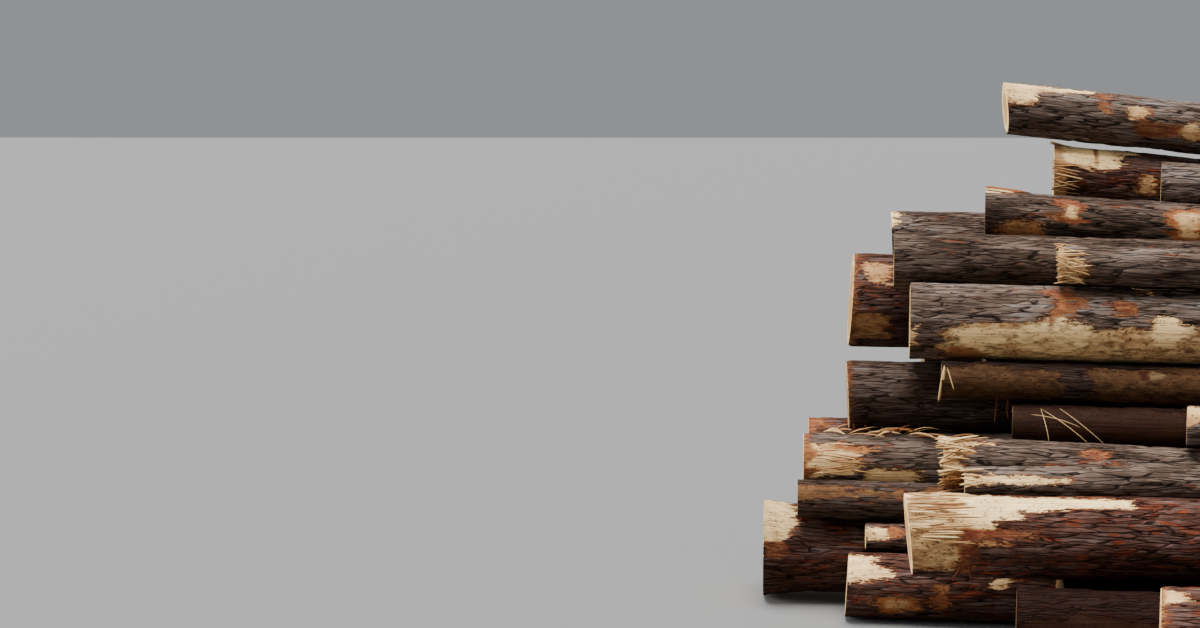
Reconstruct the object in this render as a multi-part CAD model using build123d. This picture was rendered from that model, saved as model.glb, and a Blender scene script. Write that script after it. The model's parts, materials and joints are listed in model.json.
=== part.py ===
from build123d import *
import math
import os
from dataclasses import dataclass

import numpy as np

# A heap of sawn conifer logs, dumped side by side and rolled together. Each log is one solid, a
# tapering, slightly crooked trunk between two saw cuts. X runs along the logs, with their butts
# at the low end, Y runs from the front of the heap to its back, and Z is up.

log_length = 4000.0         # nominal length that the logs are cut to
taper = 7.0                 # diameter lost per metre, from butt to tip
flare_run = 180.0           # length over which a butt's swelling dies away
flare_shares = (0.4, 1.0, 2.5)  # sections through the swelling, as shares of that length
crook_spans = 4             # straight lengths that a crooked trunk is made of
straight_spans = 2          # straight lengths that a straight trunk is drawn in
cut_run = 150.0             # last straight length of a trunk before a leaning saw cut
seat_gap = 0.3              # clearance where one log lies on another
contact_step = 100.0        # widest spacing of the sections where a log is tested against others
cut_overrun = 60.0          # how far a trunk is lofted past a leaning saw cut, to be trimmed off
roll_step = 32.0            # first step of the search for the hollow that a log rolls into
roll_limit = 0.25           # the search ends when its step is smaller than this
hidden_slack = 70.0         # how far a log out of sight may roll from its place
visible_slack = 40.0        # how far a log in the front face may roll


@dataclass
class Log:
    """One log: its place in the heap, its diameters, its crook and its two saw cuts."""

    name: str
    left: float             # X of the butt
    depth: float            # Y of the axis at the butt
    butt: float             # diameter at the butt, without flare
    skew: float = 0.0       # how much further back the tip lies than the butt
    tip: float = None       # diameter at the tip, where the usual taper doesn't give it
    flare: float = 0.0      # extra radius at the butt
    sweep: float = 0.0      # sideways bow at mid length
    arch: float = 0.0       # upward bow at mid length
    spare: float = 0.0      # length over or under the nominal one
    butt_lean: float = 0.0  # degrees that the top of the butt's cut leans out
    tip_lean: float = 0.0   # degrees that the top of the tip's cut leans out
    slack: float = visible_slack
    base_z: float = 0.0     # height of the straight axis at the butt, found by seating
    rise: float = 0.0       # how much higher the axis is at the tip, found by seating
    roll_butt: float = 0.0  # sideways roll of the butt, found by seating
    roll_tip: float = 0.0   # sideways roll of the tip, found by seating

    @property
    def length(self):
        return log_length + self.spare

    @property
    def right(self):
        return self.left + self.length

    @property
    def reach(self):
        """X of the outermost points of the two saw cuts, a leaning one's rim included."""
        return (
            self.left - self.butt / 2.0 * math.tan(math.radians(abs(self.butt_lean))),
            self.right + self.butt / 2.0 * math.tan(math.radians(abs(self.tip_lean))),
        )

    @property
    def sections(self):
        """X of the round sections that the trunk is drawn through."""
        spans = crook_spans if self.sweep or self.arch else straight_spans
        even = [self.left + self.length * n / spans for n in range(spans + 1)]
        swelling = [self.left + flare_run * share for share in flare_shares] if self.flare else []
        before_cuts = [self.left + cut_run] if self.butt_lean else []
        before_cuts += [self.right - cut_run] if self.tip_lean else []
        return sorted(even + swelling + before_cuts)

    def share(self, x):
        return (x - self.left) / self.length

    def bow(self, x):
        """Share of the full bow at x, on straight lines from each section to the next."""
        places = np.array(self.sections)
        s = self.share(places)
        return np.interp(x, places, 4.0 * s * (1.0 - s))

    def radius(self, x):
        tip = self.butt - taper * self.length / 1000.0 if self.tip is None else self.tip
        places = np.array(self.sections)
        swelling = self.flare * np.exp(-(places - self.left) / flare_run)
        return (self.butt + (tip - self.butt) * self.share(x)) / 2.0 + np.interp(x, places, swelling)

    def lateral(self, x):
        s = self.share(x)
        roll = self.roll_butt + (self.roll_tip - self.roll_butt) * s
        return self.depth + self.skew * s + roll + self.sweep * self.bow(x)

    def height(self, x):
        return self.base_z + self.rise * self.share(x) + self.arch * self.bow(x)


# The logs in the order in which they were dropped, from the ground up. In each row they are
# numbered from the front of the heap to its back.
heap_logs = [
    Log("ground_log_1", left=1090, depth=25, skew=-180, butt=340, tip=316, sweep=6, tip_lean=-3),
    Log("ground_log_2", left=720, depth=310, butt=252, tip=236, sweep=-8),
    Log("ground_log_3", left=910, depth=565, butt=250, tip=230, sweep=5),
    Log("ground_log_4", left=210, depth=808, butt=236, tip=216, sweep=-6, butt_lean=-3),
    Log("ground_log_5", left=-80, depth=1085, butt=300, tip=280, flare=33),
    Log("ground_log_6", left=430, depth=1390, butt=320, tip=300, slack=hidden_slack),
    Log("ground_log_7", left=840, depth=1690, butt=290, tip=270, spare=40, slack=hidden_slack),
    Log("ground_log_8", left=470, depth=1975, butt=280, tip=300, slack=hidden_slack),
    Log("ground_log_9", left=820, depth=2260, butt=300, tip=280, slack=hidden_slack),
    Log("ground_log_10", left=500, depth=2550, butt=290, tip=270, spare=-30, slack=hidden_slack),
    Log("ground_log_11", left=1060, depth=2830, butt=270, tip=290, slack=hidden_slack),
    Log("row_2_log_1", left=400, depth=520, skew=60, butt=284, tip=270, sweep=-7, arch=4, butt_lean=6),
    Log("row_2_log_3", left=920, depth=700, butt=126, tip=150, slack=hidden_slack),
    Log("row_2_log_4", left=280, depth=870, butt=110, tip=130, sweep=5),
    Log("row_2_log_5", left=40, depth=990, skew=30, butt=146, tip=160, arch=-5),
    Log("row_2_log_2", left=590, depth=600, skew=-60, butt=130, tip=160, arch=6),
    Log("row_2_log_7", left=60, depth=1090, skew=-60, butt=224, tip=230, sweep=8, tip_lean=4),
    Log("row_2_log_8", left=80, depth=1370, butt=300, tip=292, sweep=-6),
    Log("row_2_log_6", left=530, depth=760, skew=60, butt=200, tip=206, sweep=9, arch=-4),
    Log("row_2_log_9", left=560, depth=1690, butt=270, tip=250, slack=hidden_slack),
    Log("row_2_log_10", left=460, depth=1960, butt=280, tip=260, slack=hidden_slack),
    Log("row_2_log_11", left=720, depth=2240, butt=270, tip=260, spare=50, slack=hidden_slack),
    Log("row_2_log_12", left=620, depth=2510, butt=270, tip=250, slack=hidden_slack),
    Log("row_2_log_13", left=900, depth=2770, butt=250, tip=240, slack=hidden_slack),
    Log("row_3_log_2", left=780, depth=940, skew=-30, butt=166, tip=200, sweep=-5),
    Log("row_3_log_4", left=220, depth=1180, skew=60, butt=268, tip=262, sweep=7, butt_lean=3),
    Log("row_3_log_3", left=540, depth=1060, butt=146, tip=180, arch=5, tip_lean=-4),
    Log("row_3_log_1", left=1330, depth=820, butt=150, tip=170),
    Log("row_3_log_5", left=750, depth=1515, butt=290, tip=280),
    Log("row_3_log_6", left=540, depth=1870, butt=290, tip=270, slack=hidden_slack),
    Log("row_3_log_7", left=840, depth=2160, butt=270, tip=250, spare=-40, slack=hidden_slack),
    Log("row_3_log_8", left=1000, depth=2440, butt=260, tip=240, slack=hidden_slack),
    Log("row_4_log_1", left=430, depth=1100, skew=-60, butt=288, tip=250, sweep=-8, arch=5),
    Log("row_4_log_2", left=240, depth=1560, skew=60, butt=372, tip=352, sweep=6, butt_lean=-3),
    Log("row_4_log_3", left=660, depth=2000, butt=290, tip=270, spare=30, slack=hidden_slack),
    Log("row_4_log_4", left=940, depth=2300, butt=250, tip=230, slack=hidden_slack),
    Log("row_5_log_2", left=380, depth=1250, skew=-60, butt=222, tip=210, sweep=8, tip_lean=3),
    Log("row_5_log_1", left=940, depth=1120, skew=-60, butt=150, tip=140, sweep=-5),
    Log("row_5_log_3", left=400, depth=1760, skew=-60, butt=226, tip=206, sweep=7, butt_lean=3, spare=40),
    Log("row_5_log_4", left=860, depth=2120, butt=250, tip=230, slack=hidden_slack),
    Log("row_6_log_1", left=720, depth=1420, butt=208, tip=196, sweep=-7, arch=5, tip_lean=-3),
    Log("row_6_log_2", left=1380, depth=1560, skew=-60, butt=200, tip=190, spare=-30),
    Log("row_6_log_3", left=1030, depth=1890, skew=60, butt=256, tip=216, sweep=6),
    Log("top_log", left=850, depth=1960, skew=-60, butt=218, tip=198, sweep=7, arch=-6,
        butt_lean=5, tip_lean=3, spare=50),
]


def test_sections(log, below):
    """X of the sections where a log is tested against the ones under it.

    They stand at an even step, and also wherever one of the logs ends or bends.
    """
    start, end = log.reach
    even = {n * contact_step for n in range(math.ceil(start / contact_step), math.ceil(end / contact_step))}
    bends = {x for other in below for x in [*other.sections, *other.reach] if start < x < end}
    return np.array(sorted(even | bends | {*log.sections, start, end}))


def neighbourhood(log, below):
    """Sections along a log: its radius, the axes of the logs below, and how near these may come.

    How near the axis of another log may come is nothing past that log's ends.
    """
    xs = test_sections(log, below)
    radius = log.radius(xs)
    along = np.array([other.lateral(xs) for other in below] + [0.0 * xs])
    up = np.array([other.height(xs) for other in below] + [0.0 * xs])
    nearest = np.array([
        np.where((xs >= other.reach[0]) & (xs <= other.reach[1]), radius + other.radius(xs) + seat_gap, 0.0)
        for other in below
    ] + [0.0 * xs])
    return xs, radius, along, up, nearest


def lowest_lie(log, near):
    """Sum of the end heights of a log let down where it is, its height at the butt, and its rise.

    At each section the axis can come no lower than the ground or the round of another log
    allows, unless it lies on the ground and under the widest part of a bigger one beside it.
    A straight log then lies on the upper hull of those heights, on the edge of the hull that
    its middle is over.
    """
    xs, radius, along, up, nearest = near
    across = log.lateral(xs) - along
    over = up + np.sqrt(np.maximum(nearest**2 - across**2, 0.0))
    beside = (up - radius < nearest / 2.0) & (np.hypot(across, up - radius) >= nearest)
    over = np.where(beside | (np.abs(across) >= nearest), 0.0, over)
    need = np.maximum(radius, over.max(axis=0)) - log.arch * log.bow(xs)
    hull = []
    for i in range(len(xs)):
        while len(hull) > 1:
            a, b = hull[-2], hull[-1]
            if (need[b] - need[a]) * (xs[i] - xs[a]) > (need[i] - need[a]) * (xs[b] - xs[a]):
                break
            hull.pop()
        hull.append(i)
    middle = (log.left + log.right) / 2.0
    a, b = next((a, b) for a, b in zip(hull, hull[1:]) if xs[b] >= middle)
    slope = (need[b] - need[a]) / (xs[b] - xs[a])
    base_z = need[a] + slope * (log.left - xs[a])
    return 2.0 * base_z + slope * log.length, base_z, slope * log.length


def seat(log, below):
    """Let a log down on the ones below it, and roll it to the lowest lie within its slack.

    It then rolls back towards its first place, as far as it comes without climbing, so that it
    ends up against its neighbour instead of beside it.
    """
    near = neighbourhood(log, below)
    lie = lowest_lie(log, near)
    step = roll_step
    while step >= roll_limit:
        for butt_way, tip_way in ((1, 1), (-1, -1), (1, 0), (-1, 0), (0, 1), (0, -1), (1, -1), (-1, 1)):
            kept = log.roll_butt, log.roll_tip
            rolled = kept[0] + butt_way * step, kept[1] + tip_way * step
            if max(abs(rolled[0]), abs(rolled[1])) > log.slack:
                continue
            log.roll_butt, log.roll_tip = rolled
            trial = lowest_lie(log, near)
            if trial[0] < lie[0] - seat_gap:
                lie = trial
                break
            log.roll_butt, log.roll_tip = kept
        else:
            step /= 2.0
    highest = lie[0] + seat_gap
    step = roll_step
    while step >= roll_limit:
        for end in ("roll_butt", "roll_tip"):
            kept = getattr(log, end)
            if abs(kept) < step:
                continue
            setattr(log, end, kept - math.copysign(step, kept))
            trial = lowest_lie(log, near)
            if trial[0] < highest:
                lie = trial
                break
            setattr(log, end, kept)
        else:
            step /= 2.0
    log.base_z, log.rise = lie[1], lie[2]


def section_plane(log, x):
    """The upright plane across a log at x, with its origin on the log's axis."""
    return Plane(origin=(x, float(log.lateral(x)), float(log.height(x))), z_dir=(1, 0, 0))


def saw_off(body, log, x, outward, lean):
    """Cut a trunk off at x by a saw cut whose top leans out of the log."""
    turn = math.radians(lean)
    facing = (outward * math.cos(turn), 0.0, -math.sin(turn))
    cut = Plane(origin=section_plane(log, x).origin, z_dir=facing)
    return split(body, bisect_by=cut, keep=Keep.BOTTOM)


def trunk(log):
    """The solid of one log: round sections drawn along its axis, and a saw cut at each end."""
    places = log.sections
    if log.butt_lean:
        places[0] -= cut_overrun
    if log.tip_lean:
        places[-1] += cut_overrun
    body = loft([section_plane(log, x) * Circle(float(log.radius(x))) for x in places], ruled=True)
    if log.butt_lean:
        body = saw_off(body, log, log.left, -1, log.butt_lean)
    if log.tip_lean:
        body = saw_off(body, log, log.right, 1, log.tip_lean)
    return body


seated = []
for log in heap_logs:
    seat(log, seated)
    seated.append(log)

solids = {log.name: trunk(log) for log in seated}
boxes = [solid.bounding_box() for solid in solids.values()]
low_x, high_x = min(box.min.X for box in boxes), max(box.max.X for box in boxes)
low_y, high_y = min(box.min.Y for box in boxes), max(box.max.Y for box in boxes)
to_origin = Pos(-(low_x + high_x) / 2.0, -(low_y + high_y) / 2.0, -min(box.min.Z for box in boxes))

os.makedirs("parts", exist_ok=True)
for name, solid in solids.items():
    export_step(to_origin * solid, f"parts/{name}.step")
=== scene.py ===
import bpy
import bmesh
import json
import math
import random
from dataclasses import dataclass
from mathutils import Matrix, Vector, noise


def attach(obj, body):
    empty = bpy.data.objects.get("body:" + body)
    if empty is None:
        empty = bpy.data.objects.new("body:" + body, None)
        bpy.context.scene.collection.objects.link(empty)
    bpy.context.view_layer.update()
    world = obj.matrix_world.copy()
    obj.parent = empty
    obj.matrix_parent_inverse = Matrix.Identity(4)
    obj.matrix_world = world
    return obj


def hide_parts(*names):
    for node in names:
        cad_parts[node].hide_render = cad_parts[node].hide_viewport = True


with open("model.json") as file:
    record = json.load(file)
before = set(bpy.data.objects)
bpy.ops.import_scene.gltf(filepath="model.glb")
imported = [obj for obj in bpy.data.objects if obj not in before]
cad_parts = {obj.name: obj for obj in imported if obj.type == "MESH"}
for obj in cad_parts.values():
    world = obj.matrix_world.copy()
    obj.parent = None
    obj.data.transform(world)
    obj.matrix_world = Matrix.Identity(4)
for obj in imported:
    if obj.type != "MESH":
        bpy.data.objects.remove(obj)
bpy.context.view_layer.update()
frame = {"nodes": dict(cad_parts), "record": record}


# The ground row. Eleven conifer logs lie side by side on level ground, in furrowed bark that is
# grey-brown on most and red and scaly on some; where it is torn off, cream sapwood or orange and
# red inner bark shows. All relief is cut inwards from the full round, so no two logs run together.
class Wire:
    """The output of a shader node, with the arithmetic that adds Math nodes to it."""

    def __init__(self, shade, socket):
        self.shade, self.socket = shade, socket

    def __add__(self, other):
        return self.shade.maths("ADD", self, other)

    def __radd__(self, other):
        return self.shade.maths("ADD", other, self)

    def __sub__(self, other):
        return self.shade.maths("SUBTRACT", self, other)

    def __rsub__(self, other):
        return self.shade.maths("SUBTRACT", other, self)

    def __mul__(self, other):
        return self.shade.maths("MULTIPLY", self, other)

    def __rmul__(self, other):
        return self.shade.maths("MULTIPLY", other, self)


class Shade:
    """A material's node tree, and the ways in which its nodes are made."""

    def __init__(self, name):
        self.material = bpy.data.materials.new(name)
        self.material.use_nodes = True
        self.tree = self.material.node_tree
        self.surface = self.tree.nodes["Principled BSDF"]

    def link(self, value, socket):
        if isinstance(value, Wire):
            self.tree.links.new(value.socket, socket)
        else:
            socket.default_value = value

    def node(self, kind, settings, inputs, output=0):
        """A node of that type: its settings first, then the values or links of its sockets."""
        made = self.tree.nodes.new(kind)
        for setting, value in settings.items():
            if setting == "stops":
                ramp = made.color_ramp.elements
                while len(ramp) < len(value):
                    ramp.new(0.5)
                for element, (position, colour) in zip(ramp, value):
                    element.position, element.color = position, (*colour, 1.0)
            else:
                setattr(made, setting, value)
        for socket, value in inputs.items():
            self.link(value, made.inputs[socket])
        return Wire(self, made.outputs[output])

    def maths(self, operation, *values):
        return self.node("ShaderNodeMath", {"operation": operation}, dict(enumerate(values)))

    def vector_maths(self, operation, *values, output="Vector"):
        return self.node("ShaderNodeVectorMath", {"operation": operation}, dict(enumerate(values)), output)

    def attribute(self, name, output="Fac"):
        return self.node("ShaderNodeAttribute", {"attribute_name": name}, {}, output)

    def stretched(self, vector, along, across):
        """A place in cells, with that many to a metre along the log and across it."""
        return self.vector_maths("MULTIPLY", vector, (along, across, across))

    def noise(self, vector, detail=2.0, roughness=0.5, output="Fac"):
        inputs = {"Vector": vector, "Scale": 1.0, "Detail": detail, "Roughness": roughness}
        return self.node("ShaderNodeTexNoise", {}, inputs, output)

    def voronoi(self, vector, feature="F1", output="Distance"):
        inputs = {"Vector": vector, "Scale": 1.0}
        return self.node("ShaderNodeTexVoronoi", {"feature": feature}, inputs, output)

    def step(self, value, low, high):
        """Nothing below the low value and one above the high one, smoothly in between."""
        inputs = {"Value": value, "From Min": low, "From Max": high}
        return self.node("ShaderNodeMapRange", {"interpolation_type": "SMOOTHSTEP"}, inputs)

    def blend(self, factor, first, second):
        """The second colour over the first one, by that factor."""
        first, second = (value if isinstance(value, Wire) else (*value, 1.0) for value in (first, second))
        return self.node("ShaderNodeMix", {"data_type": "RGBA"}, {0: factor, 6: first, 7: second}, 2)

    def ramp(self, value, stops):
        return self.node("ShaderNodeValToRGB", {"stops": stops}, {0: value})


@dataclass
class BarkColours:
    """The colours of one sort of bark, from the cracks to the weathered plates."""

    crack: tuple
    shaded: tuple
    middle: tuple
    plate: tuple
    lichen: tuple
    flake: tuple            # under a fallen scale
    flake_level: float      # lower where more scales have fallen
    grey_level: float       # lower where more of the bark is weathered grey


grey_bark = BarkColours(
    crack=(0.007, 0.004, 0.003), shaded=(0.024, 0.015, 0.010), middle=(0.064, 0.040, 0.028),
    plate=(0.155, 0.108, 0.083), lichen=(0.215, 0.190, 0.170), flake=(0.14, 0.038, 0.016),
    flake_level=0.65, grey_level=0.50,
)
red_bark = BarkColours(
    crack=(0.008, 0.003, 0.002), shaded=(0.030, 0.012, 0.008), middle=(0.070, 0.029, 0.019),
    plate=(0.130, 0.078, 0.064), lichen=(0.18, 0.150, 0.138), flake=(0.165, 0.032, 0.012),
    flake_level=0.57, grey_level=0.55,
)
cream_wood, tan_wood = (0.99, 0.70, 0.33), (0.45, 0.24, 0.098)
orange_bast, red_bast = (0.31, 0.098, 0.031), (0.12, 0.027, 0.015)
wood_streak, wood_speck = (0.30, 0.143, 0.057), (0.042, 0.018, 0.008)
heart_wood, end_stain = (0.62, 0.34, 0.13), (0.13, 0.075, 0.040)
ring_width = 0.0048
sap_width, sap_fade = 0.045, 0.02   # how deep the pale sapwood goes in a cut end, and its edge
rim_bark, rim_bast = 0.005, 0.008   # how deep the bark and the inner bark go in a cut end
torn_fade = 0.0008                  # the edge of a torn place
bark_gloss = 0.05
relief_height = 0.0055
# The near-black brown that logs lying in the heap's shadow are darkened towards: painted shade.
painted_shade_brown = (0.011, 0.0036, 0.0020)

# How many marks of each kind there are to a metre, along a log and across it.
bark_warp, bark_scales, bark_flakes = (9.0, 22.0), (7.0, 78.0), (13.0, 42.0)
bark_weather, bark_fibre = (4.0, 13.0), (26.0, 190.0)
wood_grain, wood_blotches, wood_grime = (5.0, 150.0), (11.0, 26.0), (24.0, 60.0)
wood_pores, wood_tears = (55.0, 120.0), (34.0, 120.0)
ring_wobble = (0.0, 16.0)
end_checks = (1.0, 2.6)             # drying cracks, counted on a round of one metre
warp_reach = (0.030, 0.012, 0.012)


def bark_material(name, colours):
    """Bark, torn places and cut ends of a log, all read from its vertex layers."""
    shade = Shade(name)
    wood = shade.attribute("wood", "Vector")
    crack, bare, hue = shade.attribute("crack"), shade.attribute("bare"), shade.attribute("hue")
    inset, tone, stain = shade.attribute("inset"), shade.attribute("tone"), shade.attribute("stain")
    age, damp = shade.attribute("age"), shade.attribute("damp")

    # The bark: scales and cracks, weathered in patches, and redder where a scale has fallen.
    warp = shade.noise(shade.stretched(wood, *bark_warp), output="Color")
    warped = shade.vector_maths("MULTIPLY_ADD", warp, warp_reach, wood)
    scales = shade.stretched(warped, *bark_scales)
    fissure = 1.0 - shade.step(shade.voronoi(scales, "DISTANCE_TO_EDGE"), 0.0, 0.13)
    scale_tone = shade.node("ShaderNodeSeparateColor", {}, {0: shade.voronoi(scales, output="Color")})
    weather = shade.noise(shade.stretched(wood, *bark_weather), 3.0, 0.6)
    fibre = shade.noise(shade.stretched(wood, *bark_fibre), 4.0, 0.7)
    light = weather * 1.25 + scale_tone * 0.26 + tone + fibre * 0.75 - colours.grey_level * 1.30
    bark = shade.ramp(light, [
        (0.10, colours.shaded), (0.38, colours.middle), (0.72, colours.plate), (0.98, colours.lichen),
    ])
    flakes = shade.noise(shade.stretched(warped, *bark_flakes), 2.0, 0.55)
    flaked = shade.step(flakes, colours.flake_level, colours.flake_level + 0.05)
    bark = shade.blend(flaked * (0.35 + 0.65 * scale_tone), bark, colours.flake)
    bark = shade.blend(shade.step(fissure * 0.58 + crack * 0.52, 0.25, 1.15), bark, colours.crack)

    # Bare wood: cream, tan, orange or red by its hue, streaked by its grain and dirty with age.
    streak = shade.noise(shade.stretched(wood, *wood_grain), 5.0, 0.65)
    blotch = shade.noise(shade.stretched(wood, *wood_blotches), 3.0, 0.6)
    sapwood = shade.ramp(hue + (blotch - 0.5) * 0.40, [
        (0.0, cream_wood), (0.33, tan_wood), (0.66, orange_bast), (1.0, red_bast),
    ])
    sapwood = shade.blend(shade.step(streak, 0.47, 0.68) * 0.75, sapwood, wood_streak)
    grime = shade.noise(shade.stretched(wood, *wood_grime), 5.0, 0.7)
    old_wood = shade.blend(shade.step(streak + blotch * 0.6, 0.62, 0.98), wood_speck, wood_streak)
    sapwood = shade.blend(shade.step(grime * 2.4 + age, 1.40, 2.10) * 0.92, sapwood, old_wood)
    pores = shade.voronoi(shade.stretched(wood, *wood_pores))
    speckled = (1.0 - shade.step(pores, 0.16, 0.30)) * shade.step(blotch, 0.43, 0.56)
    sapwood = shade.blend(speckled * 0.8, sapwood, wood_speck)

    # The ragged edge of a torn place, with inner bark along it.
    tear = shade.noise(shade.stretched(wood, *wood_tears), 4.0, 0.7)
    torn = bare + (tear - 0.5) * 0.075
    peeled = shade.step(torn, -torn_fade, torn_fade)
    bast = shade.step(torn, -0.011, -0.001) * shade.step(blotch, 0.36, 0.58)
    bark = shade.blend(bast * 0.85, bark, shade.blend(tear, red_bast, orange_bast))
    fringed = (1.0 - shade.step(torn, 0.000, 0.016)) * shade.step(grime, 0.40, 0.62)
    sapwood = shade.blend(fringed * 0.8, sapwood, shade.blend(blotch, wood_streak, orange_bast))
    # Logs that lie in the heap's shadow are darkened all over here: painted shade.
    side = shade.blend(damp * 0.95, shade.blend(peeled, bark, sapwood), painted_shade_brown)

    # The sawn ends: rings, heartwood, drying cracks and a rim of bark.
    spread = shade.stretched(wood, 0.0, 1.0)
    wobble = shade.noise(shade.stretched(wood, *ring_wobble), 2.0, 0.5)
    from_pith = shade.vector_maths("LENGTH", spread, output="Value") + wobble * 0.02
    ring = shade.maths("SINE", from_pith * (2.0 * math.pi / ring_width)) * 0.5 + 0.5
    ray = shade.vector_maths("NORMALIZE", spread)
    seeded = shade.vector_maths("MULTIPLY_ADD", wood, (3.0, 0.0, 0.0), ray)
    rays = shade.noise(shade.stretched(seeded, *end_checks), 3.0, 0.6)
    check = 1.0 - shade.step(shade.maths("ABSOLUTE", rays - 0.5), 0.0, 0.010)
    check = check * shade.step(inset, 0.008, 0.020) * shade.step(blotch + wobble + stain * 0.5, 0.96, 1.12)
    pith_side = shade.step(inset + wobble * 0.03, sap_width, sap_width + sap_fade)
    cut = shade.blend(pith_side, cream_wood, heart_wood)
    cut = shade.blend(ring * (0.25 + 0.5 * weather), cut, wood_streak)
    cut = shade.blend(shade.step(weather + stain, 0.75, 1.25) * 0.85, cut, end_stain)
    # The cut ends of those logs are darkened the same way, towards the end stain: painted shade.
    cut = shade.blend(damp * 0.85, shade.blend(check * 0.85, cut, wood_speck), end_stain)
    barked = 1.0 - peeled
    cut = shade.blend((1.0 - shade.step(inset, rim_bark, rim_bast)) * barked, cut, red_bast)
    cut = shade.blend((1.0 - shade.step(inset, rim_bark * 0.6, rim_bark)) * barked, cut, colours.shaded)
    on_cut = shade.step(inset, 0.0003, 0.0010)
    shade.link(shade.blend(on_cut, side, cut), shade.surface.inputs["Base Color"])

    # Relief and gloss.
    bark_height = 0.45 * scale_tone + 0.50 * fibre + 0.35 * weather - 0.9 * fissure - 0.4 * flaked
    wood_height = 0.55 * streak + 0.15 * blotch - 0.4 * speckled - 0.8
    cut_height = 0.10 * ring + 0.25 * tear - 1.2 * check
    height = bark_height + (wood_height - bark_height) * peeled
    height = height + (cut_height - height) * on_cut
    relief = {"Height": height, "Strength": 1.0, "Distance": relief_height}
    bump = shade.node("ShaderNodeBump", {}, relief, "Normal")
    shade.link(bump, shade.surface.inputs["Normal"])
    rough = 0.86 - 0.22 * light
    rough = rough + (0.62 - rough) * peeled
    shade.link(rough, shade.surface.inputs["Roughness"])
    shade.link(bark_gloss, shade.surface.inputs["Specular IOR Level"])
    return shade.material


bark_materials = {
    "grey_bark": bark_material("grey bark", grey_bark),
    "red_bark": bark_material("red bark", red_bark),
}


cut_facing = 0.9            # a face that looks along the log by more than this is a saw cut
whole_ring = 12             # a section of the log has more points than this
cut_margin = 0.02           # and stands further than this from both cuts


class Trunk:
    """Where a log runs: round sections along its axis, and the slant of its two saw cuts."""

    def __init__(self, name):
        node = frame["nodes"][name]
        points = [vertex.co for vertex in node.data.vertices]
        self.ends = []
        for side in (-1.0, 1.0):
            cut = set()
            for face in node.data.polygons:
                if face.normal.x * side > cut_facing:
                    cut.update(face.vertices)
            rim = [points[i] for i in cut]
            low = min(rim, key=lambda point: point.z)
            high = max(rim, key=lambda point: point.z)
            radius = (max(p.y for p in rim) - min(p.y for p in rim)) / 2.0
            self.ends.append({
                "x": (low.x + high.x) / 2.0,
                "y": (max(p.y for p in rim) + min(p.y for p in rim)) / 2.0,
                "z": (low.z + high.z) / 2.0,
                "radius": radius,
                "lean": (high.x - low.x) / (2.0 * radius),
            })
        rings = {}
        for point in points:
            rings.setdefault(round(point.x, 4), []).append(point)
        first, last = self.ends
        self.sections = [(first["x"], first["y"], first["z"], first["radius"])]
        for x in sorted(rings):
            ring = rings[x]
            if len(ring) > whole_ring and first["x"] + cut_margin < x < last["x"] - cut_margin:
                low_y, high_y = min(p.y for p in ring), max(p.y for p in ring)
                low_z, high_z = min(p.z for p in ring), max(p.z for p in ring)
                middle_y, middle_z = (low_y + high_y) / 2.0, (low_z + high_z) / 2.0
                self.sections.append((x, middle_y, middle_z, (high_y - low_y) / 2.0))
        self.sections.append((last["x"], last["y"], last["z"], last["radius"]))
        self.length = last["x"] - first["x"]

    def at(self, along):
        """The axis point and the radius, that far from the butt."""
        x = self.sections[0][0] + along
        for a, b in zip(self.sections, self.sections[1:]):
            if x <= b[0] or b is self.sections[-1]:
                share = (x - a[0]) / (b[0] - a[0])
                y, z, radius = (a[i] + (b[i] - a[i]) * share for i in (1, 2, 3))
                return Vector((x, y, z)), radius

    def place(self, along, degrees, lift=0.0):
        """A point on the log's round, at that angle up from the front, or that far off it."""
        centre, radius = self.at(along)
        turn = math.radians(degrees)
        return centre + Vector((0.0, -math.cos(turn), math.sin(turn))) * (radius + lift)


@dataclass
class Patch:
    """A torn place: its stretch of the log, its arc up from the front, and what shows there."""

    start: float
    stop: float
    low: float              # degrees, 0 facing the front of the heap and 90 on top
    high: float
    hue: float = 0.0        # 0 cream sapwood, 1/3 tan, 2/3 orange inner bark, 1 red
    age: float = 0.2        # 0 freshly torn, 1 brown with dirt
    point: float = 0.0      # how far the torn place narrows towards its stop
    ragged: float = 0.017   # how far its edge strays


@dataclass
class Sliver:
    """A splinter or a strip of bark that still hangs on: three points that it bends over."""

    points: tuple           # each is metres along, degrees up from the front, metres off the bark
    width: float = 0.006
    hue: float = 0.1
    thickness: float = 0.002


@dataclass
class Detail:
    """How close together the points of a log's surface lie."""

    around: float
    fine: float             # along the first stretch of the log
    stretch: float          # how long that is
    coarse: float           # along the rest


front_detail = Detail(around=0.0095, fine=0.0095, stretch=0.9, coarse=0.042)
back_detail = Detail(around=0.015, fine=0.015, stretch=0.10, coarse=0.045)
inner_detail = Detail(around=0.021, fine=0.015, stretch=0.06, coarse=0.12)

scale_length, scale_width = 0.185, 0.027    # a scale of bark, along and around the trunk
crack_depth = 0.0050
tone_spread = 0.14          # how much lighter the palest scale is than the darkest one
scale_stray, scale_bend = 0.011, 9.0        # how far the scales stray from straight, and how often
crack_reach = 0.26          # of a scale's width
grit_height, grit_count = 0.0010, 60.0      # the fine roughness of the bark, and its grains to a metre
bark_thickness = 0.0065
peel_edge = 0.004           # half the width over which the bark thins out to a torn place
tears_along, tears_around = 7.0, 26.0       # how often that edge strays, to a metre
out_of_round = 0.006
rim_round = 0.0025
face_shares = (0.0, 0.15, 0.30, 0.45, 0.60, 0.75, 0.87, 0.95, 0.985)
lean_fade = 0.25        # length over which the rings turn from the saw cut to square
bare_reach = 0.08       # how far from its edge a torn place is still told from the bark
noise.seed_set(1)           # without it, noise_vector differs from run to run


def smooth_step(low, high, value):
    share = min(max((value - low) / (high - low), 0.0), 1.0)
    return share * share * (3.0 - 2.0 * share)


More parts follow.
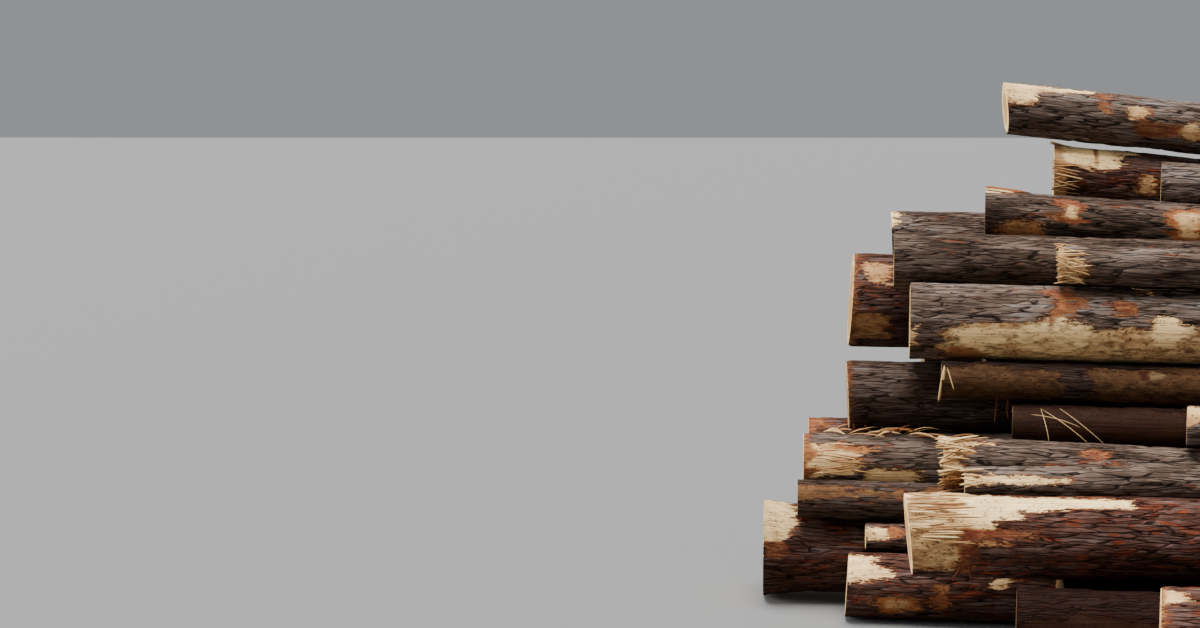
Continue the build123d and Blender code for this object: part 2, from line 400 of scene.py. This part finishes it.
def bark_relief(along, around, radius, seed):
    """How deep the bark lies under the full round there, how cracked it is, and its scale's tone."""
    place = Vector((along + seed, math.cos(around) * radius, math.sin(around) * radius))
    flake = place + noise.noise_vector(place * scale_bend) * scale_stray
    flake.x /= scale_length
    flake.y /= scale_width
    flake.z /= scale_width
    distances, centres = noise.voronoi(flake)
    crack = 1.0 - smooth_step(0.0, crack_reach, distances[1] - distances[0])
    lift = noise.cell(centres[0] * 3.7) * 0.5 + 0.5
    tilt = 0.5 + 0.9 * (flake.x - centres[0].x)
    grit = grit_height * noise.noise(place * grit_count)
    depth = crack_depth * (0.75 * crack + 0.55 * lift + 0.35 * tilt) + grit
    return max(depth, 0.0), crack, lift


def torn_there(patches, along, around, radius, seed):
    """The distance inside the nearest torn place, less than nothing on bark, its hue and age."""
    bare, hue, age = -bare_reach, 0.0, 0.0
    for patch in patches:
        share = min(max((along - patch.start) / (patch.stop - patch.start), 0.0), 1.0)
        half = math.radians((patch.high - patch.low) / 2.0) * (1.0 - patch.point * share)
        middle = math.radians((patch.high + patch.low) / 2.0)
        away = abs((around - middle + math.pi) % (2.0 * math.pi) - math.pi) * radius
        run = (patch.stop - patch.start) / 2.0
        corner = min(half * radius, run * 0.5) * 0.7
        over_side = away - half * radius + corner
        over_end = (abs(along - patch.start - run) - run) * 0.5 + corner
        if max(over_side, over_end) > bare_reach + corner:
            continue
        outside = math.hypot(max(over_side, 0.0), max(over_end, 0.0))
        inside = corner - outside - min(max(over_side, over_end), 0.0)
        strays = (along * tears_along + seed, around * radius * tears_around, patch.start * tears_along)
        inside += patch.ragged * noise.fractal(Vector(strays), 1.0, 2.0, 4)
        over = smooth_step(-peel_edge, peel_edge, inside) if bare > -peel_edge else float(inside > bare)
        hue += (patch.hue - hue) * over
        age += (patch.age - age) * over
        bare = max(bare, inside)
    return min(max(bare, -bare_reach), bare_reach), hue, age


rim_step = 0.003            # from a saw cut to the ring that rounds its rim
widening = 1.12             # how much further each ring stands past the fine stretch
tip_gap = 0.05              # the even rings end this far short of the tip's cut


def stations_along(length, detail):
    """Where the rings of a log stand: closest at both cuts and along its first stretch."""
    step = detail.fine
    places = [0.0, rim_step]
    while places[-1] < length - tip_gap:
        if places[-1] > detail.stretch:
            step = min(step * widening, detail.coarse)
        places.append(places[-1] + step)
    return [place for place in places if place < length - 4.0 * rim_step] + [length - rim_step, length]


sliver_sides, sliver_spans = 4, 8
sliver_facing = (0.0, -1.0, 0.35)       # its flat side looks this way, off the front of the heap
fresh_sliver = 0.2                      # the age of its wood
middle_tone = 0.5


def add_sliver(log, layers, trunk, sliver, seed):
    """A flat splinter: a four-sided tube, bent over its three points and closed at both tips."""
    first, middle, last = (trunk.place(*point) for point in sliver.points)
    tube = bmesh.ops.create_grid(log, x_segments=sliver_sides, y_segments=sliver_spans, size=0.5)
    for vertex in tube["verts"]:
        corner = 2.0 * math.pi * round((vertex.co.x + 0.5) * sliver_sides) / sliver_sides
        t, across, out = vertex.co.y + 0.5, math.cos(corner) / 2.0, math.sin(corner) / 2.0
        centre = first * (1.0 - t) ** 2 + middle * 2.0 * t * (1.0 - t) + last * t**2
        run = ((middle - first) * (1.0 - t) + (last - middle) * t).normalized()
        side = run.cross(Vector(sliver_facing)).normalized()
        front = side.cross(run)
        slim = math.sin(math.pi * t) ** 0.5 if 0.001 < t < 0.999 else 0.0
        vertex.co = centre + (side * across * sliver.width + front * out * sliver.thickness) * slim
        looks = (0.0, bare_reach, sliver.hue, fresh_sliver, 0.0, middle_tone, 0.0, 0.0)
        for layer, value in zip(layers, looks):
            vertex[layer] = value
        grain = (t * 0.1 + seed + across * 0.3, across * sliver.width * 3.0, out * sliver.thickness)
        vertex[layers[-1]] = grain


slots = {part["node"]: part["material_slot"] for part in frame["record"]["subparts"]}
layer_names = ("crack", "bare", "hue", "age", "inset", "tone", "stain", "damp")
seed_step = 11.7            # metres of bark pattern between one log and the next
rounds_along, rounds_about = 0.9, 0.35      # how slowly a trunk strays from a true round
weld_distance = 0.00002


def log_piece(
    name, patches=(), slivers=(), detail=front_detail, stain=None, pale=None, damp=0.0, slant=0.0,
):
    """One log: a grid wrapped round its trunk and closed over both saw cuts.

    The stain darkens and cracks its cut ends, pale lightens its bark, or darkens it below zero,
    and a painted shade darkens all of it, for a log that lies in the heap's shadow. Where stain
    or pale isn't given, the log draws its own. The slant is how far its butt's cut runs back
    along the log on the far side, in degrees.
    """
    trunk = Trunk(name)
    chance = random.Random(name)
    usual_stain, usual_pale = chance.uniform(0.0, 0.5), chance.uniform(-0.08, 0.08)
    stain = usual_stain if stain is None else stain
    pale = usual_pale if pale is None else pale
    seed = sorted(frame["nodes"]).index(name) * seed_step
    around_count = int(2.0 * math.pi * trunk.ends[0]["radius"] / detail.around)
    stations = stations_along(trunk.length, detail)
    rows = [(0, share) for share in face_shares] + [(i, 1.0) for i in range(len(stations))]
    rows += [(len(stations) - 1, share) for share in reversed(face_shares)]
    last = len(rows) - 1
    log = bmesh.new()
    layers = [log.verts.layers.float.new(layer) for layer in layer_names]
    layers.append(log.verts.layers.float_vector.new("wood"))
    wrap = bmesh.ops.create_grid(log, x_segments=around_count, y_segments=last, size=0.5)
    for vertex in wrap["verts"]:
        turn = round((vertex.co.x + 0.5) * around_count) % around_count
        row = round((vertex.co.y + 0.5) * last)
        station, share = rows[row]
        along = stations[station]
        around = 2.0 * math.pi * turn / around_count
        centre, radius = trunk.at(along)
        front, rise = -math.cos(around), math.sin(around)
        place = Vector((along * rounds_along + seed, front * rounds_about, rise * rounds_about))
        depth = out_of_round * (0.5 + 0.5 * noise.noise(place * 2.0))
        bare, hue, age = torn_there(patches, along, around, radius, seed)
        peel = smooth_step(-peel_edge, peel_edge, bare)
        bark, crack, tone = bark_relief(along, around, radius, seed)
        depth += bark * (1.0 - peel) + bark_thickness * peel
        reach = (radius - depth) * share
        end = trunk.ends[0] if row < last / 2 else trunk.ends[1]
        fade = max(0.0, 1.0 - abs(centre.x - end["x"]) / lean_fade)
        x = centre.x + end["lean"] * rise * reach * fade
        if row < last / 2:
            x += math.tan(math.radians(slant)) * (front * reach + radius) * fade
        if share == 1.0 and station in (0, len(stations) - 1):
            x += rim_round * (1.0 if station == 0 else -1.0)
        vertex.co = (x, centre.y + front * reach, centre.z + rise * reach)
        inset = (radius - depth) * (1.0 - share)
        cracked, toned = crack * (1.0 - peel), tone_spread * tone + pale
        for layer, value in zip(layers, (cracked, bare, hue, age, inset, toned, stain, damp)):
            vertex[layer] = value
        vertex[layers[-1]] = (along + seed, front * reach, rise * reach)
    for sliver in slivers:
        add_sliver(log, layers, trunk, sliver, seed)
    bmesh.ops.remove_doubles(log, verts=log.verts, dist=weld_distance)
    bmesh.ops.recalc_face_normals(log, faces=log.faces)
    for face in log.faces:
        face.smooth = True
    mesh = bpy.data.meshes.new(f"{name}_trunk")
    log.to_mesh(mesh)
    log.free()
    piece = bpy.data.objects.new(f"{name}_trunk", mesh)
    bpy.context.scene.collection.objects.link(piece)
    slot = slots[name]
    mesh.materials.append(bark_materials[slot])
    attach(piece, "root")
    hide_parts(name)
    return piece


scattered_edge = 0.026      # how far the edge of a strewn torn place strays


def scattered(name, count, start):
    """Torn places strewn over the part of a log that the photo doesn't show."""
    chance = random.Random(name)
    length = Trunk(name).length
    patches = []
    for _ in range(count):
        along = chance.uniform(start, length)
        reach = chance.choice((0.04, 0.07, 0.12, 0.25, 0.5)) * chance.uniform(0.7, 1.3)
        middle, half = chance.uniform(0.0, 360.0), chance.uniform(8.0, 24.0)
        hue, age = chance.choice((0.0, 0.1, 0.3, 0.6, 0.95)), chance.uniform(0.15, 0.6)
        point = chance.uniform(0.1, 0.9)
        patches.append(Patch(
            along, along + reach, middle - half, middle + half, hue, age, point, scattered_edge,
        ))
    return patches


log_piece("ground_log_1", [
    Patch(-0.1, 0.08, 52, 90, hue=0.20, point=0.4),
    Patch(-0.1, 0.008, -180, 180, hue=0.75, age=0.6, ragged=0.004),
    *scattered("ground_log_1", 7, 0.5),
], slant=11.0, stain=0.1, pale=0.0)
log_piece("ground_log_2", [
    Patch(0.0, 0.70, -60, 30, hue=1.0, age=0.55, ragged=0.03),
    *scattered("ground_log_2", 9, 0.8),
], damp=1.0, slant=7.0)
log_piece("ground_log_4", [
    Patch(-0.1, 0.10, 18, 84, hue=0.05),
    Patch(0.02, 0.16, 20, 50, hue=0.10, point=0.6),
    Patch(0.10, 0.26, -38, -4, hue=0.68),
    Patch(0.13, 0.22, -30, -12, hue=0.30),
    Patch(0.30, 0.335, -42, 18, hue=0.85),
    Patch(0.49, 0.55, 19, 37, hue=0.10),
    *scattered("ground_log_4", 7, 1.2),
], slant=2.0, stain=0.0, pale=-0.02)
log_piece("ground_log_5", [
    Patch(-0.1, 0.11, 18, 108, hue=0.04, ragged=0.018),
    Patch(0.0, 0.07, 2, 18, hue=1.0, age=0.4),
    *scattered("ground_log_5", 7, 1.2),
], stain=0.0, pale=0.0, damp=0.4)
log_piece("ground_log_11", scattered("ground_log_11", 8, 0.0), detail=back_detail)
log_piece("ground_log_3", scattered("ground_log_3", 2, 0.5), detail=inner_detail, damp=1.0)
for name in ("ground_log_6", "ground_log_7", "ground_log_8", "ground_log_9", "ground_log_10"):
    log_piece(name, scattered(name, 2, 0.0), detail=inner_detail, damp=0.35)


# The second row. The thick peeled log lies furthest forward, and small ones fill the hollows
# beside and behind it. The ends that were dragged are torn into splinters.
def fringe(name, count, low, high, out, hues, width=0.007, spread=10.0):
    """Splinters that stand out along the rim of a torn butt, each leaning up to that spread."""
    chance = random.Random(name)
    splinters = []
    for _ in range(count):
        angle, lean = chance.uniform(low, high), chance.uniform(-spread, spread)
        points = (
            (chance.uniform(0.03, 0.14), angle - lean, -0.002),
            (0.01, angle + lean / 2.0, 0.0015),
            (-out * chance.uniform(0.35, 1.0), angle + lean, chance.uniform(-0.004, 0.006)),
        )
        splinters.append(Sliver(points, width * chance.uniform(0.4, 1.5), chance.choice(hues), 0.003))
    return splinters


def shreds(name, count, start, stop, low, high, hues, turned=14.0, lift=0.014, longest=0.16):
    """Loose strips of bark and wood that lie along a log, turned and lifted by up to so much.

    The first lie between start and stop along it, and none is longer than the longest.
    """
    chance = random.Random(name)
    strips = []
    for _ in range(count):
        along, angle = chance.uniform(start, stop), chance.uniform(low, high)
        reach = chance.uniform(0.05, longest)
        turn = chance.uniform(-turned, turned)
        points = (
            (along, angle, 0.0),
            (along + reach * 0.5, angle + turn * 0.3, lift * chance.uniform(0.3, 1.2)),
            (along + reach, angle + turn, lift * chance.uniform(-0.1, 1.0)),
        )
        strips.append(Sliver(points, chance.uniform(0.003, 0.010), chance.choice(hues)))
    return strips


log_piece("row_2_log_1", [
    Patch(-0.1, 0.72, 38, 104, hue=0.02, point=0.72, age=0.05),
    Patch(-0.1, 0.36, 28, 70, hue=0.04, age=0.10, point=0.3),
    Patch(-0.1, 0.27, 12, 44, hue=0.08, age=0.25, point=0.2),
    Patch(-0.1, 0.16, -44, 26, hue=0.22, age=0.50, ragged=0.022),
    Patch(-0.1, 0.13, 30, 84, hue=0.16, age=0.55, ragged=0.03),
    Patch(0.16, 0.40, 10, 22, hue=1.0, point=0.4, ragged=0.005),
    Patch(0.155, 0.195, -54, 20, hue=1.0, ragged=0.005),
    Patch(0.20, 0.30, -4, 8, hue=0.40, age=0.4, point=0.6),
    *scattered("row_2_log_1", 6, 1.4),
], [
    *fringe("row_2_log_1", 16, 20, 88, 0.012, (0.0, 0.1, 0.3, 0.4), 0.006, 3.0),
    *shreds("row_2_log_1", 40, 0.0, 0.10, 0, 84, (0.05, 0.15, 0.3, 0.4, 0.5), 4.0, 0.004),
    Sliver(((0.16, -30, 0.003), (0.15, -48, 0.008), (0.135, -66, 0.006)), 0.008, 0.95),
    Sliver(((0.185, -30, 0.003), (0.20, -50, 0.008), (0.205, -68, 0.006)), 0.009, 0.95),
], stain=0.1, pale=-0.07)
log_piece("row_2_log_2", [
    Patch(-0.1, 0.34, 2, 46, hue=0.02, age=0.05, point=0.85),
    *scattered("row_2_log_2", 5, 0.8),
], fringe("row_2_log_2", 6, 5, 60, 0.02, (0.0, 0.1)), slant=5.0)
log_piece("row_2_log_4", [
    Patch(0.005, 0.095, 0, 55, hue=0.12),
    Patch(0.09, 0.12, 20, 60, hue=0.8),
    *scattered("row_2_log_4", 4, 1.0),
])
log_piece("row_2_log_5", [
    Patch(-0.1, 0.50, 16, 56, hue=0.42, age=0.72, ragged=0.035),
    *scattered("row_2_log_5", 4, 1.0),
], damp=0.6)
log_piece("row_2_log_6", [
    Patch(-0.1, 0.065, -60, 78, hue=0.45, age=0.95, ragged=0.03),
    Patch(-0.1, 0.16, 50, 78, hue=0.08, point=0.8),
    Patch(-0.1, 0.060, -4, 26, hue=0.04, ragged=0.02),
    Patch(0.48, 0.56, 40, 60, hue=0.95),
    Patch(0.55, 0.63, 0, 27, hue=1.0),
    Patch(0.33, 0.42, -1, 21, hue=0.95),
    *scattered("row_2_log_6", 6, 1.1),
], [
    *fringe("row_2_log_6_top", 14, 44, 82, 0.030, (0.0, 0.05, 0.15, 0.3), 0.008, 24.0),
    *fringe("row_2_log_6_front", 8, -6, 28, 0.024, (0.0, 0.1, 0.3), 0.009, 16.0),
    *fringe("row_2_log_6_low", 12, -55, -8, 0.022, (0.3, 0.4, 0.5), 0.007, 20.0),
    *shreds("row_2_log_6", 9, -0.01, 0.05, 20, 75, (0.05, 0.3, 0.5), 30.0),
], slant=5.0, pale=-0.05)
log_piece("row_2_log_7", [
    Patch(-0.1, 0.20, -30, 57, hue=0.14, point=0.35, ragged=0.018),
    Patch(0.10, 0.30, 31, 50, hue=0.62, point=0.5),
    Patch(-0.1, 0.014, -180, 180, hue=0.8, age=0.7, ragged=0.005),
    Patch(0.22, 0.42, -34, -4, hue=0.08, ragged=0.006),
    Patch(0.04, 0.20, -50, -30, hue=1.0, age=0.4),
    Patch(-0.1, 0.030, -30, 45, hue=0.7, age=0.6, ragged=0.03),
    *scattered("row_2_log_7", 6, 1.2),
], [
    *shreds("row_2_log_7", 26, 0.06, 0.42, 62, 100, (0.2, 0.4, 0.7, 0.95), 30.0, 0.030),
    *shreds("row_2_log_7_end", 14, 0.0, 0.10, -15, 50, (0.2, 0.4, 0.5, 0.62), 16.0, 0.005),
], pale=0.06)
log_piece("row_2_log_8", [
    Patch(-0.1, 0.06, 36, 110, hue=1.0, age=0.35, ragged=0.03),
    *scattered("row_2_log_8", 6, 1.0),
], shreds("row_2_log_8", 60, 0.10, 0.60, 50, 104, (0.1, 0.3, 0.4, 0.6, 0.8), 24.0, 0.028))
log_piece("row_2_log_13", scattered("row_2_log_13", 8, 0.0), detail=back_detail)
for name in ("row_2_log_3", "row_2_log_9", "row_2_log_10", "row_2_log_11", "row_2_log_12"):
    log_piece(name, scattered(name, 2, 0.0), detail=inner_detail, damp=0.35)


# The third row. The log in the shade under the heap's middle has lost most of its bark, and
# strips of it hang down over the hollow.
log_piece("row_3_log_1", [
    Patch(-0.1, 0.055, 10, 105, hue=0.25),
    *scattered("row_3_log_1", 5, 0.6),
], slant=12.0)
log_piece("row_3_log_2", [
    # Its bare wood is aged dark, as dirt and as painted shade for the heap's shadow that it lies in.
    Patch(-0.1, 0.90, -60, 75, hue=0.85, age=0.75, ragged=0.04),
    *scattered("row_3_log_2", 5, 0.9),
], [
    Sliver(((0.10, 62, 0.004), (0.12, 10, 0.010), (0.13, -36, 0.006)), 0.0032),
    Sliver(((0.10, 60, 0.003), (0.20, 12, 0.012), (0.27, -34, 0.005)), 0.0030),
    Sliver(((0.16, 66, 0.003), (0.24, 18, 0.012), (0.33, -38, 0.005)), 0.0028),
    Sliver(((0.06, 40, 0.004), (0.16, 34, 0.010), (0.24, 8, 0.005)), 0.0028),
], damp=1.0, slant=7.0)
log_piece("row_3_log_3", [
    # Its bare wood is aged dark, as dirt and as painted shade for the shadow under the log above.
    Patch(-0.1, 0.40, -70, 64, hue=0.38, age=0.66, ragged=0.030, point=0.2),
    Patch(0.51, 0.95, -60, 60, hue=0.34, age=0.62, ragged=0.04),
    Patch(0.69, 0.80, 26, 58, hue=0.12, age=0.3, ragged=0.03),
    Patch(0.69, 0.72, 30, 58, hue=1.0),
    *scattered("row_3_log_3", 5, 1.2),
], [
    Sliver(((0.012, 50, 0.006), (0.004, -5, 0.016), (-0.004, -88, 0.012)), 0.016, 0.22),
    Sliver(((0.020, 44, 0.006), (0.030, 12, 0.016), (0.045, -20, 0.014)), 0.004, 0.15),
    Sliver(((0.195, -40, 0.004), (0.205, -100, 0.030), (0.200, -105, 0.095)), 0.007, 0.95),
    Sliver(((0.235, -45, 0.004), (0.240, -100, 0.020), (0.250, -108, 0.080)), 0.010, 0.85),
], slant=4.0, damp=0.85)
log_piece("row_3_log_4", [
    Patch(-0.1, 0.010, -180, 180, hue=0.9, age=0.5, ragged=0.006),
    *scattered("row_3_log_4", 6, 1.2),
], [
    Sliver(((0.02, -40, 0.002), (0.03, -62, 0.010), (0.045, -80, 0.022)), 0.012, 0.75),
    Sliver(((0.06, -42, 0.002), (0.085, -62, 0.012), (0.10, -84, 0.030)), 0.010, 0.66),
    Sliver(((0.12, -46, 0.002), (0.14, -66, 0.010), (0.15, -84, 0.024)), 0.008, 0.25),
], pale=0.0, damp=0.6)
log_piece("row_3_log_8", scattered("row_3_log_8", 8, 0.0), detail=back_detail)
for name in ("row_3_log_5", "row_3_log_6"):
    log_piece(name, scattered(name, 2, 0.5), detail=inner_detail, damp=1.0)
log_piece("row_3_log_7", scattered("row_3_log_7", 2, 0.0), detail=inner_detail, damp=0.35)


# The fourth row. Its front log has a long cream strip torn off its lower side, and the thick
# one behind it has red, scaly bark.
log_piece("row_4_log_1", [
    Patch(0.10, 1.10, -95, 4, hue=0.16, age=0.55, ragged=0.030),
    Patch(0.13, 0.25, -88, -38, hue=0.58, age=0.3),
    Patch(0.16, 0.34, -34, 0, hue=0.04, age=0.10, ragged=0.016),
    Patch(0.36, 0.62, -40, 10, hue=0.08, age=0.42, ragged=0.03),
    Patch(-0.01, 0.02, -31, -5, hue=0.05),
    Patch(0.84, 0.93, -25, 22, hue=0.0, age=0.0),
    Patch(0.49, 0.57, 22, 64, hue=1.0, age=0.4, ragged=0.03),
    Patch(0.51, 0.54, 30, 50, hue=0.50),
    Patch(0.715, 0.765, 24, 46, hue=1.0, age=0.4, ragged=0.025),
    Patch(0.80, 0.85, 66, 96, hue=0.05),
    *scattered("row_4_log_1", 5, 1.5),
], slant=3.0, pale=0.06)
log_piece("row_4_log_2", [
    Patch(0.035, 0.14, 24, 57, hue=0.34),
    Patch(0.01, 0.13, -52, -9, hue=0.36, age=0.5, ragged=0.02),
    Patch(-0.1, 0.010, -180, 180, hue=0.75, age=0.6, ragged=0.006),
    *scattered("row_4_log_2", 6, 1.0),
], damp=0.2)
log_piece("row_4_log_4", scattered("row_4_log_4", 8, 0.0), detail=back_detail)
log_piece("row_4_log_3", scattered("row_4_log_3", 2, 0.0), detail=inner_detail, damp=0.5)


# The fifth row. Four logs. The front one's butt tore off before the saw was through, so it is
# bare and golden there, with splinters all round its rim.
log_piece("row_5_log_1", [
    Patch(-0.1, 0.026, -80, 85, hue=0.28, age=0.3, ragged=0.010),
    Patch(0.02, 0.07, -50, 0, hue=0.85, age=0.4),
    Patch(-0.1, 0.075, -62, 48, hue=0.14, age=0.35, point=0.35, ragged=0.028),
    *scattered("row_5_log_1", 5, 0.8),
], [
    *fringe("row_5_log_1", 22, -70, 85, 0.012, (0.1, 0.2, 0.3, 0.4), 0.006, 26.0),
    *shreds("row_5_log_1", 12, -0.01, 0.04, -55, 30, (0.05, 0.2, 0.3), 22.0, 0.010, 0.085),
], slant=8.0)
log_piece("row_5_log_2", scattered("row_5_log_2", 6, 1.1), slant=3.0, pale=-0.12)
log_piece("row_5_log_3", [
    Patch(-0.1, 0.02, 30, 90, hue=0.05),
    *scattered("row_5_log_3", 6, 0.8),
], slant=3.0, pale=-0.06)
log_piece("row_5_log_4", scattered("row_5_log_4", 8, 0.0), detail=back_detail)


# The sixth row and the log on top of it. The highest one shows its pale sawn end and the bare
# wood along its upper edge.
log_piece("row_6_log_1", [
    Patch(0.27, 0.36, 2, 58, hue=0.95, age=0.35, ragged=0.03),
    Patch(0.29, 0.34, 12, 44, hue=0.22, age=0.3, ragged=0.012),
    Patch(0.07, 0.23, -50, 6, hue=0.48, age=0.45, ragged=0.018, point=0.5),
    Patch(0.67, 0.79, -26, 50, hue=0.80, ragged=0.03),
    Patch(0.70, 0.77, -16, 42, hue=0.22, age=0.3, ragged=0.02),
    # A narrow cream strip of bare sapwood along the top edge at the butt, which is also a painted
    # highlight along that edge.
    Patch(-0.1, 0.13, 66, 104, hue=0.0, point=0.5, ragged=0.006),
    *scattered("row_6_log_1", 6, 1.2),
], [
    Sliver(((0.15, 82, -0.005), (0.08, 84, -0.001), (0.004, 86, 0.007)), 0.012, 0.72),
    Sliver(((0.14, 88, -0.005), (0.09, 90, 0.000), (0.012, 92, 0.010)), 0.010, 0.66),
    Sliver(((0.12, 74, -0.005), (0.07, 74, -0.002), (-0.004, 76, 0.003)), 0.012, 0.10),
    Sliver(((0.18, 84, -0.005), (0.11, 86, 0.000), (0.040, 88, 0.006)), 0.010, 0.80),
], slant=6.0, pale=-0.12)
log_piece("row_6_log_2", scattered("row_6_log_2", 7, 0.5), slant=11.0)
log_piece("row_6_log_3", [
    Patch(-0.1, 0.05, -70, 90, hue=0.34, ragged=0.02),
    Patch(0.03, 0.26, 20, 102, hue=0.0, age=0.05, ragged=0.010),
    Patch(0.12, 0.34, 52, 100, hue=0.02, age=0.05, point=0.6, ragged=0.010),
    Patch(0.165, 0.172, 30, 100, hue=0.9, age=1.0, ragged=0.002),
    Patch(0.335, 0.385, -18, 14, hue=0.28, ragged=0.006),
    *scattered("row_6_log_3", 6, 0.8),
], fringe("row_6_log_3", 26, -50, 90, 0.014, (0.2, 0.3, 0.4, 0.45), 0.006, 7.0), slant=7.0)
log_piece("top_log", [
    Patch(-0.1, 0.13, 10, 104, hue=0.08, age=0.10, point=0.2),
    Patch(-0.1, 0.33, 34, 104, hue=0.08, age=0.12, point=0.75),
    Patch(0.355, 0.388, 16, 70, hue=0.95, age=0.3),
    Patch(0.47, 0.535, 4, 34, hue=0.22, age=0.3, ragged=0.022, point=0.4),
    Patch(0.50, 0.69, -26, 4, hue=1.0, age=0.5, ragged=0.02),
    Patch(0.675, 0.735, -28, 12, hue=0.22, age=0.3),
    *scattered("top_log", 6, 1.1),
], stain=-0.3, pale=0.05)


# The view. The heap is seen from eye height on level ground, with its staggered left ends in
# the frame and its right ends out of it.
eye_height = 1.7
lens, sensor = 54.0, 36.0
picture_width = 1200
horizon_rise = 183                  # pixels from the middle of the picture up to the horizon
view_pitch = math.atan(horizon_rise / (picture_width * lens / sensor))
view_yaw = math.radians(6.0)
eye_before_front_log = 5.445        # how far the eye stands before the butt of the front log
eye_left_of_front_log = 1.09        # and how far to its left
butt_tolerance = 0.001

front_log = [vertex.co for vertex in frame["nodes"]["ground_log_1"].data.vertices]
front_butt_x = min(point.x for point in front_log)
front_rim = [point.y for point in front_log if point.x < front_butt_x + butt_tolerance]
front_butt_y = (min(front_rim) + max(front_rim)) / 2.0
eye_x, eye_y = front_butt_x - eye_left_of_front_log, front_butt_y - eye_before_front_log
camera_data = bpy.data.cameras.new("camera")
camera_data.lens = lens
camera_data.sensor_width = sensor
camera = bpy.data.objects.new("camera", camera_data)
bpy.context.scene.collection.objects.link(camera)
camera.location = (eye_x, eye_y, eye_height)
camera.rotation_euler = (math.pi / 2.0 - view_pitch, 0.0, view_yaw)
bpy.context.scene.camera = camera


# The studio. The heap stands on a plain pale floor, under one broad soft light overhead and a
# narrower one from the left, which lights the sawn butts.
floor_size = 900.0
floor_grey, studio_white = (0.15, 0.15, 0.148, 1.0), (0.92, 0.95, 1.0, 1.0)
studio_strength = 0.32
floor_roughness = 0.9
floor_grid = bmesh.new()
bmesh.ops.create_grid(floor_grid, x_segments=1, y_segments=1, size=floor_size / 2.0)
floor_mesh = bpy.data.meshes.new("floor")
floor_grid.to_mesh(floor_mesh)
floor_grid.free()
floor = bpy.data.objects.new("floor", floor_mesh)
bpy.context.scene.collection.objects.link(floor)
floor_shade = Shade("studio floor")
floor_shade.link(floor_grey, floor_shade.surface.inputs["Base Color"])
floor_shade.link(floor_roughness, floor_shade.surface.inputs["Roughness"])
floor_mesh.materials.append(floor_shade.material)

world = bpy.data.worlds.new("studio")
world.use_nodes = True
world.node_tree.nodes["Background"].inputs["Color"].default_value = studio_white
world.node_tree.nodes["Background"].inputs["Strength"].default_value = studio_strength
bpy.context.scene.world = world
for label, toward, spread, strength in (
    ("overhead light", (0.10, 0.06, -1.0), 50.0, 8.5),
    ("left light", (1.0, 0.10, -0.30), 30.0, 4.2),
):
    light_data = bpy.data.lights.new(label, "SUN")
    light_data.angle = math.radians(spread)
    light_data.energy = strength
    light = bpy.data.objects.new(label, light_data)
    light.rotation_euler = Vector(toward).to_track_quat("-Z", "Y").to_euler()
    bpy.context.scene.collection.objects.link(light)
